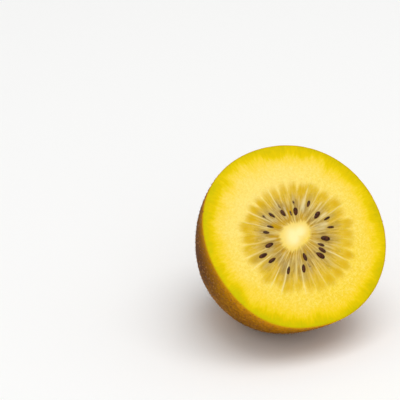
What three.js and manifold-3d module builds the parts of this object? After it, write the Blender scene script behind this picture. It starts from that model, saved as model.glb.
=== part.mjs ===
// Golden kiwi fruit, one cut half. It lies on its skin with the cut face turned up and forward.
// Millimetres, +Z up. The origin is the middle of the small flat spot that the half rests on.
// Each shape is first made in the fruit's own frame: X across the cut face, Y up the face, and
// Z out of it, with the middle of the core at the origin and the stem end at the far -Z.

import * as THREE from 'three';
import { mergeVertices } from 'three/addons/utils/BufferGeometryUtils.js';
import Module from 'manifold-3d';

const wasm = await Module();
wasm.setup();

const { degToRad, smoothstep } = THREE.MathUtils;

// The half as a whole
const FACE_RADIUS = 27;
const HALF_LENGTH = 37.3;
const ROUNDNESS = 2.15; // 2 would be an ellipse, and more fills out the shoulder
const FACE_RISE = 40; // degrees from level up to the cut face's outward normal
const REST_CUT = 0.5; // how far the flat spot is set into the round of the skin

// Waves round the fruit, each with its height, how many times it repeats and where it peaks
const OUTLINE_WAVES = [
  { height: 0.4, sides: 2, peak: -24 },
  { height: 0.34, sides: 3, peak: 18 },
  { height: 0.18, sides: 4, peak: -32 },
];
const SKIN_SWELL = 0.2; // shallow unevenness of the outside, none at the cut or the end

// Sides where something is missing from the round, their widths and places in degrees round it
const FLAT_SIDE = { depth: 0.85, width: 24, place: 263 }; // from the cut down to the stem end
const SLIM_SIDE = { depth: 2.1, width: 34, place: 138 }; // only between the cut and the stem end

// The stem end, a low collar round the scar where the stalk came off
const COLLAR_RADIUS = 4.3;
const COLLAR_WIDTH = 1.7;
const COLLAR_HEIGHT = 1.1;
const HOLLOW_RADIUS = 8.6; // the shallow hollow round the collar
const HOLLOW_WIDTH = 2.6;
const HOLLOW_DEPTH = 0.35;
const SCAR_RADIUS = 2.1;
const SCAR_EDGE = 0.8;
const SCAR_DEPTH = 0.9;
const STUB_RADIUS = 1.4; // what is left of the stalk, in the middle of the scar
const STUB_HEIGHT = 0.4;

// The cut face, in heights above or below the plane of the cut
const FLESH_CROWN = 0.2; // the flesh swells a little out of the skin
const CORE_PROUD = 0.3;
const CORE_RADIUS = 4.6;
const CORE_WAVES = [
  { height: 0.7, sides: 2, peak: 15 },
  { height: 0.5, sides: 1, peak: 190 },
];
const LOCULE_COUNT = 30;
const LOCULE_SUNK = 0.45;
const LOCULE_TURN = 4; // degrees round to the middle of the first locule
const LOCULE_DRIFT = [
  { height: 1.1, sides: 1, peak: 152 },
  { height: 1.1, sides: 2, peak: -74 },
  { height: 1.0, sides: 3, peak: -44 },
];
const LOCULE_REACH = 16.3; // the middle of the fruit to the locules' outer tips
const REACH_WAVES = [
  { height: 0.8, sides: 1, peak: 240 },
  { height: 0.8, sides: 2, peak: 5 },
];
const REACH_SCATTER = 0.6;

// Seeds that show at the cut: degrees round the face, distance out, length and width
const SEEDS = [
  [1, 11.0, 2.2, 0.8],
  [15, 11.0, 2.2, 0.8],
  [29, 9.1, 2.6, 1.5],
  [51, 10.3, 2.2, 1.1],
  [74, 6.9, 2.3, 1.5],
  [77, 9.4, 1.7, 0.8],
  [87, 6.4, 1.9, 0.7],
  [106, 7.2, 2.3, 1.3],
  [106, 9.4, 1.7, 0.9],
  [128, 8.9, 2.3, 1.1],
  [138, 10.5, 1.7, 0.8],
  [150, 7.9, 2.2, 0.8],
  [163, 8.9, 2.1, 1.1],
  [187, 8.8, 2.7, 1.4],
  [197, 11.9, 2.7, 1.4],
  [210, 10.6, 2.6, 1.2],
  [239, 10.5, 2.4, 1.1],
  [265, 9.5, 2.4, 1.4],
  [275, 6.4, 2.4, 1.2],
  [277, 8.9, 1.8, 0.7],
  [289, 5.4, 1.5, 0.7],
  [308, 8.8, 2.7, 1.6],
  [319, 8.4, 2.5, 1.3],
  [328, 7.6, 2.3, 1.1],
  [343, 8.7, 2.8, 1.5],
];
const SEED_THICKNESS = 1.3;
const SEED_PROUD = 0.42; // what stands out of the flesh, the rest is sunk in it
const SEED_YAW = 12; // most degrees that a seed turns off its ray
const SEED_SIDES = 7;
const SEED_SHOWS = 0.1; // what rises more than this above the flesh is coloured as seed
const SEED_STATIONS = [-0.72, -0.25, 0.3, 0.75]; // along the seed, from the pointed end at -1 to 1

// How finely the surfaces are divided
const SIDES = 120;
const FACE_RINGS = [26.4, 24.2, 21.2, 18.6, 17, 15.6, 14.2, 12.8, 11.4, 10, 8.6, 7.2];
const CORE_RINGS = [
  { radius: 5.9, sides: 60 },
  { radius: 4.6, sides: 60 },
  { radius: 3.3, sides: 30 },
  { radius: 1.7, sides: 15 },
];
const SKIN_RINGS = 17;
const FINE_SKIN_RINGS = 12; // those nearest the cut, which keep all their sides
const END_RINGS = [
  { radius: 8.6, sides: 60 },
  { radius: 7, sides: 60 },
  { radius: 5.6, sides: 60 },
  { radius: 4.3, sides: 30 },
  { radius: 3, sides: 30 },
  { radius: 2.1, sides: 15 },
  { radius: 1.3, sides: 15 },
];

const SKIN_COLOUR = new THREE.Color('#b5760f');
const SCAR_COLOUR = new THREE.Color('#4a3018');
const FLESH_COLOUR = new THREE.Color('#f8da4b');
const LOCULE_COLOUR = new THREE.Color('#cda84f');
const CORE_COLOUR = new THREE.Color('#fdf0a8');
const SEED_COLOUR = new THREE.Color('#3a2322');

// A number from 0 to 1 that is always the same for the same index and salt
function draw(index, salt) {
  const value = Math.sin(index * 127.1 + salt * 311.7) * 43758.5453;
  return value - Math.floor(value);
}

function waves(turn, list) {
  return list.reduce(
    (sum, wave) => sum + wave.height * Math.cos(wave.sides * (turn - degToRad(wave.peak))),
    0,
  );
}

function missing(turn, side) {
  const away = Math.cos(turn - degToRad(side.place)) - 1;
  return side.depth * Math.exp((2 * away) / degToRad(side.width) ** 2);
}

function faceRadius(turn) {
  return FACE_RADIUS + waves(turn, OUTLINE_WAVES) - missing(turn, FLAT_SIDE);
}

function coreRadius(turn) {
  return CORE_RADIUS + waves(turn, CORE_WAVES);
}

// Whole numbers of this count are the middles of the locules, and the walls lie half way
function loculeNumber(turn) {
  const straight = turn - degToRad(LOCULE_TURN + waves(turn, LOCULE_DRIFT));
  return (straight / (2 * Math.PI)) * LOCULE_COUNT;
}

function loculeReach(turn) {
  const nearest = Math.round(loculeNumber(turn) + LOCULE_COUNT) % LOCULE_COUNT;
  const scatter = (2 * draw(nearest, 1) - 1) * REACH_SCATTER;
  return LOCULE_REACH + waves(turn, REACH_WAVES) + scatter;
}

// How sunk a point of the cut face is, from 0 at a wall, the core or the flesh to 1 mid-locule
function loculeShare(turn, radius) {
  const core = coreRadius(turn);
  const along = (radius - core) / (loculeReach(turn) - core);
  if (along <= 0 || along >= 1) return 0;
  const across = 0.5 + 0.5 * Math.cos(2 * Math.PI * loculeNumber(turn));
  return Math.sin(Math.PI * along) ** 0.6 * (0.25 + 0.75 * across);
}

function coreShare(turn, radius) {
  const core = coreRadius(turn);
  return 1 - smoothstep(radius, core - 1, core + 1);
}

function faceHeight(turn, radius) {
  const crown = FLESH_CROWN * (1 - (radius / faceRadius(turn)) ** 12);
  const core = CORE_PROUD * coreShare(turn, radius);
  return crown + core - LOCULE_SUNK * loculeShare(turn, radius);
}

// How far the stem end stands out past the plain round of the fruit
function endHeight(radius) {
  const collar = COLLAR_HEIGHT * Math.exp(-(((radius - COLLAR_RADIUS) / COLLAR_WIDTH) ** 2));
  const hollow = HOLLOW_DEPTH * Math.exp(-(((radius - HOLLOW_RADIUS) / HOLLOW_WIDTH) ** 2));
  const stub = STUB_HEIGHT * Math.exp(-((radius / STUB_RADIUS) ** 2));
  const rim = smoothstep(radius, SCAR_RADIUS - SCAR_EDGE, SCAR_RADIUS + SCAR_EDGE);
  return collar - hollow + stub - SCAR_DEPTH * (1 - rim);
}

// A point of the skin, by its turn round the fruit and its share of the outline's radius there
function skinPoint(turn, share) {
  const depth = (1 - share ** ROUNDNESS) ** (1 / ROUNDNESS);
  const ripple = Math.sin(3 * turn + 5 * depth) + Math.sin(2 * turn - 7 * depth + 1);
  const swell = SKIN_SWELL * ripple - missing(turn, SLIM_SIDE);
  const radius = faceRadius(turn) * share + 2 * share * depth * swell;
  const z = -HALF_LENGTH * depth - endHeight(radius);
  return [radius * Math.cos(turn), radius * Math.sin(turn), z];
}

function facePoint(turn, radius) {
  return [radius * Math.cos(turn), radius * Math.sin(turn), faceHeight(turn, radius)];
}

// The half's surface as one chain of rings, from the scar over the skin to the middle of the core
function buildBody() {
  const corners = [];
  const faces = [];
  let last = null;

  // Faces between two rings that may have different numbers of corners. A ring of one is a pole.
  function zip(a, b) {
    const stepsA = a.sides > 1 ? a.sides : 0;
    const stepsB = b.sides > 1 ? b.sides : 0;
    let i = 0;
    let j = 0;
    while (i < stepsA || j < stepsB) {
      const cornerA = a.first + (i % a.sides);
      const cornerB = b.first + (j % b.sides);
      const nextA = i < stepsA ? (i + 0.5) / stepsA : 2;
      const nextB = j < stepsB ? (j + 0.5) / stepsB : 2;
      if (nextA <= nextB) {
        i += 1;
        faces.push(cornerA, a.first + (i % a.sides), cornerB);
      } else {
        j += 1;
        faces.push(cornerA, b.first + (j % b.sides), cornerB);
      }
    }
  }

  function ring(sides, place) {
    const next = { first: corners.length / 3, sides };
    for (let i = 0; i < sides; i += 1) {
      corners.push(...place((2 * Math.PI * i) / sides));
    }
    if (last) zip(last, next);
    last = next;
  }

  ring(1, (turn) => skinPoint(turn, 0));
  for (const { radius, sides } of [...END_RINGS].reverse()) {
    ring(sides, (turn) => skinPoint(turn, radius / FACE_RADIUS));
  }
  const endShare = (END_RINGS[0].radius + 2) / FACE_RADIUS;
  const endAngle = Math.acos(endShare ** (ROUNDNESS / 2));
  for (let k = SKIN_RINGS; k >= 0; k -= 1) {
    const share = Math.cos((endAngle * k) / SKIN_RINGS) ** (2 / ROUNDNESS);
    ring(k > FINE_SKIN_RINGS ? SIDES / 2 : SIDES, (turn) => skinPoint(turn, share));
  }
  for (const radius of FACE_RINGS) {
    ring(SIDES, (turn) => facePoint(turn, (radius * faceRadius(turn)) / FACE_RADIUS));
  }
  for (const { radius, sides } of CORE_RINGS) {
    ring(sides, (turn) => facePoint(turn, radius));
  }
  ring(1, (turn) => facePoint(turn, 0));

  const body = new THREE.BufferGeometry();
  body.setAttribute('position', new THREE.Float32BufferAttribute(corners, 3));
  body.setIndex(faces);
  return body;
}

// One seed, flat on the face, with its pointed end to the core and its lower part sunk in
function buildSeed([degrees, out, length, width], index) {
  const profile = [new THREE.Vector2(0, -length / 2)];
  for (const s of SEED_STATIONS) {
    const radius = (width / 2) * (1 - s * s) ** 0.6 * (1 + 0.25 * s);
    profile.push(new THREE.Vector2(radius, (s * length) / 2));
  }
  profile.push(new THREE.Vector2(0, length / 2));
  const seed = new THREE.LatheGeometry(profile, SEED_SIDES);
  seed.scale(1, 1, SEED_THICKNESS / width);
  const turn = degToRad(degrees);
  const yaw = degToRad((2 * draw(index, 2) - 1) * SEED_YAW);
  seed.rotateZ(turn - Math.PI / 2 + yaw);
  const [x, y, z] = facePoint(turn, out);
  seed.translate(x, y, z + SEED_PROUD - SEED_THICKNESS / 2);
  return seed;
}

function toSolid(geometry) {
  geometry.deleteAttribute('normal');
  geometry.deleteAttribute('uv');
  const merged = mergeVertices(geometry);
  return new wasm.Manifold(
    new wasm.Mesh({
      numProp: 3,
      vertProperties: new Float32Array(merged.attributes.position.array),
      triVerts: new Uint32Array(merged.index.array),
    }),
  );
}

function toGeometry(solid) {
  const { vertProperties, triVerts } = solid.getMesh();
  const geometry = new THREE.BufferGeometry();
  geometry.setAttribute('position', new THREE.BufferAttribute(vertProperties, 3));
  geometry.setIndex(new THREE.BufferAttribute(triVerts, 1));
  return geometry;
}

// The middle of a face's three corners tells which part of the fruit the face belongs to
function colourAt(point) {
  const turn = Math.atan2(point.y, point.x);
  const radius = Math.hypot(point.x, point.y);
  if (point.z < -LOCULE_SUNK) {
    return radius < SCAR_RADIUS + SCAR_EDGE ? SCAR_COLOUR : SKIN_COLOUR;
  }
  if (point.z > faceHeight(turn, radius) + SEED_SHOWS) return SEED_COLOUR;
  if (coreShare(turn, radius) > 0.5) return CORE_COLOUR;
  return loculeShare(turn, radius) > 0.2 ? LOCULE_COLOUR : FLESH_COLOUR;
}

function paint(geometry, toFruit) {
  const painted = geometry.toNonIndexed();
  const position = painted.attributes.position;
  const colours = [];
  const corner = new THREE.Vector3();
  for (let face = 0; face < position.count; face += 3) {
    const middle = new THREE.Vector3();
    for (let k = 0; k < 3; k += 1) {
      middle.addScaledVector(corner.fromBufferAttribute(position, face + k), 1 / 3);
    }
    const colour = colourAt(middle.applyMatrix4(toFruit));
    for (let k = 0; k < 3; k += 1) colours.push(...colour.toArray());
  }
  painted.setAttribute('color', new THREE.Float32BufferAttribute(colours, 3));
  painted.computeVertexNormals();
  return painted;
}

// Lay the half on its skin, with the lowest point of the round a little below the surface
const body = buildBody();
const lie = new THREE.Matrix4().makeRotationX(degToRad(90 - FACE_RISE));
const lying = body.clone().applyMatrix4(lie);
lying.computeBoundingBox();
const lift = -lying.boundingBox.min.z - REST_CUT;
const stand = new THREE.Matrix4().makeTranslation(0, 0, lift).multiply(lie);

// Join the seeds to the body, then take off what is below the surface
let half = toSolid(body.applyMatrix4(stand));
for (const seed of SEEDS.map(buildSeed)) {
  half = half.add(toSolid(seed.applyMatrix4(stand)));
}
const below = new THREE.BoxGeometry(6 * FACE_RADIUS, 6 * FACE_RADIUS, HALF_LENGTH);
below.translate(0, 0, -HALF_LENGTH / 2);
const geometry = toGeometry(half.subtract(toSolid(below)));

// Move the middle of the flat spot to the origin
const flat = new THREE.Box3();
const point = new THREE.Vector3();
for (let i = 0; i < geometry.attributes.position.count; i += 1) {
  point.fromBufferAttribute(geometry.attributes.position, i);
  if (point.z < 1e-4) flat.expandByPoint(point);
}
const middle = flat.getCenter(new THREE.Vector3());
const shift = new THREE.Matrix4().makeTranslation(-middle.x, -middle.y, 0);
geometry.applyMatrix4(shift);
const toFruit = shift.multiply(stand).invert();

const kiwiHalf = new THREE.Mesh(
  paint(geometry, toFruit),
  new THREE.MeshStandardMaterial({ vertexColors: true, roughness: 0.5, metalness: 0 }),
);
kiwiHalf.name = 'golden_kiwi_half';

const kiwi = new THREE.Group();
kiwi.add(kiwiHalf);

export default kiwi;
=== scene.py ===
# %% [markdown]
# # Half a golden kiwi fruit
#
# This lesson dresses one cut half of a golden kiwi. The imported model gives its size, its place
# and its main shape. Here it gets the things that make it look like fruit: a thin brown skin
# with raised specks and a little fuzz, moist yellow flesh with a cream core, and dark seeds.
# The model is loaded first, because every piece below is made to fit it.

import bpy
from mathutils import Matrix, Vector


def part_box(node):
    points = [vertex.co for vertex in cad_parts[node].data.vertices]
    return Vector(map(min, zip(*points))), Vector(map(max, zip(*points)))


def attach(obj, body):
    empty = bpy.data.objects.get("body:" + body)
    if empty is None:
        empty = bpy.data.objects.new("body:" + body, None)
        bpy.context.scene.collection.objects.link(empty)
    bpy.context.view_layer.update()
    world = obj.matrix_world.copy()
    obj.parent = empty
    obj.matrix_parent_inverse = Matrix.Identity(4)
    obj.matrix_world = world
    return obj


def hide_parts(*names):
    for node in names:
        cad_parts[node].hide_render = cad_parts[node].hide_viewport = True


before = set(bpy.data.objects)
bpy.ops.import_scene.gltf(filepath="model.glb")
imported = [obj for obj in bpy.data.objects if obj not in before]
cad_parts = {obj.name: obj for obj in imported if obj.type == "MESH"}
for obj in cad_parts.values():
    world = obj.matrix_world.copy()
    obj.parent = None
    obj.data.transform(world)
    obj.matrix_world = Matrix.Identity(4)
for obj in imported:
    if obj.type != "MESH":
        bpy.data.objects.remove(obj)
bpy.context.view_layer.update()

import math

import bpy
import numpy as np
from mathutils import Euler, Matrix, Vector

NODE = "golden_kiwi_half"

# %% [markdown]
# ## Driving sizes
#
# A kiwi half is almost a solid of revolution, so a few radii and depths describe it. They are in
# millimetres, in the fruit's own frame: X across the cut, Y up the cut, Z out of it, with the
# middle of the core at the origin. The small departures from round are sums of cosines, each
# given as its height, how many times it repeats round the fruit and where it peaks in degrees.
# Two sides are less full than the rest, and each has its depth, and its width and place in degrees.

# %% Sizes of the half
MM = 0.001
FACE_RADIUS = 27.0
HALF_LENGTH = 37.3
ROUNDNESS = 2.15
FACE_RISE = 40.0
OUTLINE_WAVES = ((0.4, 2, -24), (0.34, 3, 18), (0.18, 4, -32))
FLAT_SIDE = (0.85, 24, 263)  # from the cut down to the stem end
SLIM_SIDE = (2.1, 34, 138)  # only between the cut and the stem end
SKIN_SWELL = 0.2
SKIN_THICKNESS = 0.16

COLLAR_RADIUS, COLLAR_WIDTH, COLLAR_HEIGHT = 4.3, 1.7, 1.1
HOLLOW_RADIUS, HOLLOW_WIDTH, HOLLOW_DEPTH = 8.6, 2.6, 0.35
SCAR_RADIUS, SCAR_EDGE, SCAR_DEPTH = 2.1, 0.8, 0.9
STUB_RADIUS, STUB_HEIGHT = 1.4, 0.4

FLESH_CROWN, CORE_PROUD, LOCULE_SUNK = 0.2, 0.3, 0.45
JUICE_FILL = 0.45  # share of a locule's depth that pulp and juice fill up again
CORE_RADIUS = 4.6
CORE_WAVES = ((0.7, 2, 15), (0.5, 1, 190))
LOCULE_COUNT = 30
LOCULE_TURN = 4.0
LOCULE_DRIFT = ((1.1, 1, 152), (1.1, 2, -74), (1.0, 3, -44))
LOCULE_REACH = 16.3
REACH_WAVES = ((0.8, 1, 240), (0.8, 2, 5))
REACH_SCATTER = 0.6
print("cut face about", 2 * FACE_RADIUS, "mm across, half length", HALF_LENGTH, "mm")


# %% Small helpers
def smooth(value, low, high):
    """0 below low, 1 above high and an even S between them."""
    share = np.clip((value - low) / (high - low), 0, 1)
    return share * share * (3 - 2 * share)


def draw(index, salt):
    """A number from 0 to 1 that is always the same for the same index and salt."""
    value = np.sin(index * 127.1 + salt * 311.7) * 43758.5453
    return value - np.floor(value)


def flicker(steps, period, salt):
    """Smooth 1-D noise with a new draw at each whole step, that closes after period steps."""
    low = np.floor(steps)
    share = smooth(steps - low, 0, 1)
    return (1 - share) * draw(low % period, salt) + share * draw((low + 1) % period, salt)


def waves(turn, spec):
    """The sum of the cosines in spec at this turn round the fruit."""
    return sum(height * np.cos(sides * (turn - math.radians(peak))) for height, sides, peak in spec)


print("noise at the first four steps:", flicker(np.arange(4.0), 8, 1).round(2))


# %% Shape of the half
def missing(turn, side):
    """How much is missing from the round here, most at the side's place."""
    depth, width, place = side
    away = np.cos(turn - math.radians(place)) - 1
    return depth * np.exp(2 * away / math.radians(width) ** 2)


def face_radius(turn):
    return FACE_RADIUS + waves(turn, OUTLINE_WAVES) - missing(turn, FLAT_SIDE)


def core_radius(turn):
    return CORE_RADIUS + waves(turn, CORE_WAVES)


def locule_number(turn):
    """Whole at the middle of a locule and half way between two at a wall."""
    straight = turn - np.radians(LOCULE_TURN + waves(turn, LOCULE_DRIFT))
    return straight / (2 * math.pi) * LOCULE_COUNT


def locule_reach(turn):
    nearest = np.round(locule_number(turn)) % LOCULE_COUNT
    return LOCULE_REACH + waves(turn, REACH_WAVES) + (2 * draw(nearest, 1) - 1) * REACH_SCATTER


def across_locule(turn):
    """1 at the middle of a locule and 0 at its walls."""
    return 0.5 + 0.5 * np.cos(2 * math.pi * locule_number(turn))


def sunk_share(turn, radius):
    core = core_radius(turn)
    along = np.clip((radius - core) / (locule_reach(turn) - core), 0, 1)
    return np.sin(math.pi * along) ** 0.6 * (0.25 + 0.75 * across_locule(turn))


def face_height(turn, radius):
    """How far the cut face stands above the plane of the cut."""
    crown = FLESH_CROWN * (1 - (radius / face_radius(turn)) ** 12)
    core = core_radius(turn)
    proud = CORE_PROUD * (1 - smooth(radius, core - 1, core + 1))
    return crown + proud - LOCULE_SUNK * (1 - JUICE_FILL) * sunk_share(turn, radius)


def end_height(radius):
    """How far the collar, its scar and the hollow round it depart from the plain round."""
    collar = COLLAR_HEIGHT * np.exp(-(((radius - COLLAR_RADIUS) / COLLAR_WIDTH) ** 2))
    hollow = HOLLOW_DEPTH * np.exp(-(((radius - HOLLOW_RADIUS) / HOLLOW_WIDTH) ** 2))
    stub = STUB_HEIGHT * np.exp(-((radius / STUB_RADIUS) ** 2))
    rim = smooth(radius, SCAR_RADIUS - SCAR_EDGE, SCAR_RADIUS + SCAR_EDGE)
    return collar - hollow + stub - SCAR_DEPTH * (1 - rim)


def outside_points(turn, share, inset=0.0):
    """Points of the outside, share being 1 at the cut and 0 at the tip, inset mm under the skin."""
    depth = (1 - share**ROUNDNESS) ** (1 / ROUNDNESS)
    ripple = np.sin(3 * turn + 5 * depth) + np.sin(2 * turn - 7 * depth + 1)
    swell = SKIN_SWELL * ripple - missing(turn, SLIM_SIDE)
    radius = (face_radius(turn) - inset) * share + 2 * share * depth * swell
    z = -(HALF_LENGTH - inset) * depth - end_height(radius)
    return np.stack([radius * np.cos(turn), radius * np.sin(turn), z], axis=-1)


print("a locule reaches out to", locule_reach(np.zeros(1)).round(1), "mm on the right of the cut")

# %% [markdown]
# ## From the fruit's frame to the table
#
# The half lies on the round of its skin with the cut tipped up. The tip angle is a driving size.
# Where it stands is not guessed: the outside is laid out once, turned, and its box is set against
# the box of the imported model, so that the two agree whatever the sizes are.

# %% Place the fruit's frame in the room
LIE = np.array(Euler((math.radians(90 - FACE_RISE), 0, 0)).to_matrix())
PROBE_SIDES, PROBE_RINGS = 240, 120


def place_of_face():
    """Where the middle of the cut face lies in the room, in millimetres."""
    turns = np.linspace(0, 2 * math.pi, PROBE_SIDES, endpoint=False)
    shares = np.cos(np.linspace(0, math.pi / 2, PROBE_RINGS)) ** (2 / ROUNDNESS)
    turn, share = np.meshgrid(turns, shares)
    points = outside_points(turn.ravel(), share.ravel()) @ LIE.T
    low, high = (np.array(corner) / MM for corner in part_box(NODE))
    middle = (low + high) / 2 - (points.min(axis=0) + points.max(axis=0)) / 2
    return np.array([middle[0], middle[1], high[2] - points[:, 2].max()])


FACE_PLACE = place_of_face()


def to_room(points, floor=0.0):
    """Fruit-frame millimetres to room metres, pressed flat where they would pass the floor."""
    room = points @ LIE.T + FACE_PLACE
    room[:, 2] = np.maximum(room[:, 2], floor)
    return room * MM


print("middle of the cut face, in mm:", FACE_PLACE.round(2))

# %% [markdown]
# ## Surfaces from rings
#
# The skin and the flesh are both chains of rings: from the stem end up to the cut, then inwards.
# A lathe would give every ring the same number of corners and crowd them at the poles. Zipping
# rings with different numbers of corners keeps the faces even, and a ring of one closes a pole.

# %% Helpers for ring surfaces
def band(first_a, sides_a, first_b, sides_b):
    """The faces between two rings. Equal rings give four-cornered faces, others triangles."""
    if sides_a == sides_b:
        nxt = [(i + 1) % sides_a for i in range(sides_a)]
        return [(first_a + i, first_a + nxt[i], first_b + nxt[i], first_b + i) for i in range(sides_a)]
    steps_a = sides_a if sides_a > 1 else 0
    steps_b = sides_b if sides_b > 1 else 0
    faces, i, j = [], 0, 0
    while i < steps_a or j < steps_b:
        corner_a, corner_b = first_a + i % sides_a, first_b + j % sides_b
        next_a = (i + 0.5) / steps_a if i < steps_a else 2
        next_b = (j + 0.5) / steps_b if j < steps_b else 2
        if next_a <= next_b:
            i += 1
            faces.append((corner_a, first_a + i % sides_a, corner_b))
        else:
            j += 1
            faces.append((corner_a, first_b + j % sides_b, corner_b))
    return faces


def ring_faces(counts):
    """The faces of a closed chain of rings with these numbers of corners."""
    faces, first = [], 0
    for sides_a, sides_b in zip(counts, counts[1:]):
        faces += band(first, sides_a, first + sides_a, sides_b)
        first += sides_a
    return faces


def turns_of(sides):
    return np.linspace(0, 2 * math.pi, sides, endpoint=False)


def new_piece(name, vertices, faces, material, masks=None):
    """A smooth mesh object at the origin, with one float attribute for each mask."""
    mesh = bpy.data.meshes.new(name)
    mesh.from_pydata(vertices.tolist(), [], faces)
    for mask, values in (masks or {}).items():
        mesh.attributes.new(mask, "FLOAT", "POINT").data.foreach_set("value", values)
    mesh.shade_smooth()
    mesh.materials.append(material)
    piece = bpy.data.objects.new(name, mesh)
    bpy.context.scene.collection.objects.link(piece)
    return piece


def report(piece):
    triangles = sum(len(face.vertices) - 2 for face in piece.data.polygons)
    print(piece.name, "has", triangles, "triangles")


print("a pole and a ring of six make", len(ring_faces([1, 6])), "faces")

# %% [markdown]
# ## Helpers for node trees
#
# Every finish and every repeated thing below is a node tree built by script. One helper makes a
# node, sets its options and fills or links its inputs, so that a tree reads like a recipe.

# %% Make and link nodes
def colour(hex_code):
    """A web colour as the linear RGBA that sockets hold."""
    parts = [int(hex_code[i : i + 2], 16) / 255 for i in (0, 2, 4)]
    return [c / 12.92 if c <= 0.04045 else ((c + 0.055) / 1.055) ** 2.4 for c in parts] + [1.0]


def node(tree, kind, inputs=None, **options):
    """A new node. Each input is a value to set or an output socket to link."""
    made = tree.nodes.new(kind)
    for name, value in options.items():
        setattr(made, name, value)
    for key, value in (inputs or {}).items():
        if isinstance(value, bpy.types.NodeSocket):
            tree.links.new(value, made.inputs[key])
        else:
            made.inputs[key].default_value = value
    return made


def mask_of(tree, name):
    return node(tree, "ShaderNodeAttribute", attribute_name=name).outputs["Fac"]


def maths(tree, operation, a, b):
    return node(tree, "ShaderNodeMath", {0: a, 1: b}, operation=operation).outputs[0]


def mix(tree, share, a, b):
    """Colour a where share is 0, going over to colour b where it is 1."""
    return node(tree, "ShaderNodeMix", {0: share, 6: a, 7: b}, data_type="RGBA").outputs[2]


def lay_over(tree, base, layers):
    """Mix tints over a colour, each listed as its mask's name, its strength and a web colour."""
    for mask, strength, tint in layers:
        base = mix(tree, maths(tree, "MULTIPLY", mask_of(tree, mask), strength), base, colour(tint))
    return base


def ramp(tree, value, stops):
    """A colour ramp with stops of (place, web colour)."""
    made = node(tree, "ShaderNodeValToRGB", {"Fac": value})
    elements = made.color_ramp.elements
    while len(elements) < len(stops):
        elements.new(0.5)
    for element, (place, hex_code) in zip(elements, stops):
        element.position = place
        element.color = colour(hex_code)
    return made.outputs["Color"]


def fit(tree, value, low, high, to_low=0.0, to_high=1.0):
    inputs = {"Value": value, "From Min": low, "From Max": high, "To Min": to_low, "To Max": to_high}
    return node(tree, "ShaderNodeMapRange", inputs).outputs["Result"]


def new_material(name, **sockets):
    """A material with one Principled shader, whose plain sockets are set by name."""
    material = bpy.data.materials.new(name)
    material.use_nodes = True
    shader = material.node_tree.nodes["Principled BSDF"]
    for key, value in sockets.items():
        shader.inputs[key.replace("_", " ")].default_value = value
    return material, material.node_tree, shader


def feed(tree, shader, **outputs):
    """Link output sockets to the shader's inputs, set by name."""
    for key, value in outputs.items():
        tree.links.new(value, shader.inputs[key.replace("_", " ")])


print("node helpers ready")

# %% [markdown]
# ## An effect that several finishes share
#
# Grain that looks natural has more than one size in it. This group lays a fine noise over a
# coarse one and puts out the mix as one mask and as a bumped normal. Skin, scar, seeds and flesh
# all use it, each with its own sizes.

# %% The grain group
def build_grain():
    group = bpy.data.node_groups.new("fruit_grain", "ShaderNodeTree")
    sockets = (("Coarse", 300.0), ("Fine", 1800.0), ("Fine share", 0.4), ("Bump depth", 0.0001))
    group.interface.new_socket("Vector", in_out="INPUT", socket_type="NodeSocketVector")
    for name, value in sockets:
        socket = group.interface.new_socket(name, in_out="INPUT", socket_type="NodeSocketFloat")
        socket.default_value = value
    group.interface.new_socket("Mask", in_out="OUTPUT", socket_type="NodeSocketFloat")
    group.interface.new_socket("Normal", in_out="OUTPUT", socket_type="NodeSocketVector")
    start = node(group, "NodeGroupInput").outputs
    sizes = {"Vector": start["Vector"], "Detail": 4.0, "Roughness": 0.6}
    coarse = node(group, "ShaderNodeTexNoise", {**sizes, "Scale": start["Coarse"]}).outputs["Fac"]
    fine = node(group, "ShaderNodeTexNoise", {**sizes, "Scale": start["Fine"]}).outputs["Fac"]
    both = node(group, "ShaderNodeMix", {0: start["Fine share"], 2: coarse, 3: fine}).outputs[0]
    bump = {"Height": both, "Distance": start["Bump depth"], "Strength": 1.0}
    normal = node(group, "ShaderNodeBump", bump).outputs["Normal"]
    node(group, "NodeGroupOutput", {"Mask": both, "Normal": normal})
    return group


GRAIN = build_grain()


def grain(tree, vector, coarse, fine, fine_share, depth):
    made = node(tree, "ShaderNodeGroup", node_tree=GRAIN)
    values = {"Coarse": coarse, "Fine": fine, "Fine share": fine_share, "Bump depth": depth}
    for name, value in values.items():
        made.inputs[name].default_value = value
    tree.links.new(vector, made.inputs["Vector"])
    return made.outputs


print("shared group:", GRAIN.name)
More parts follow.
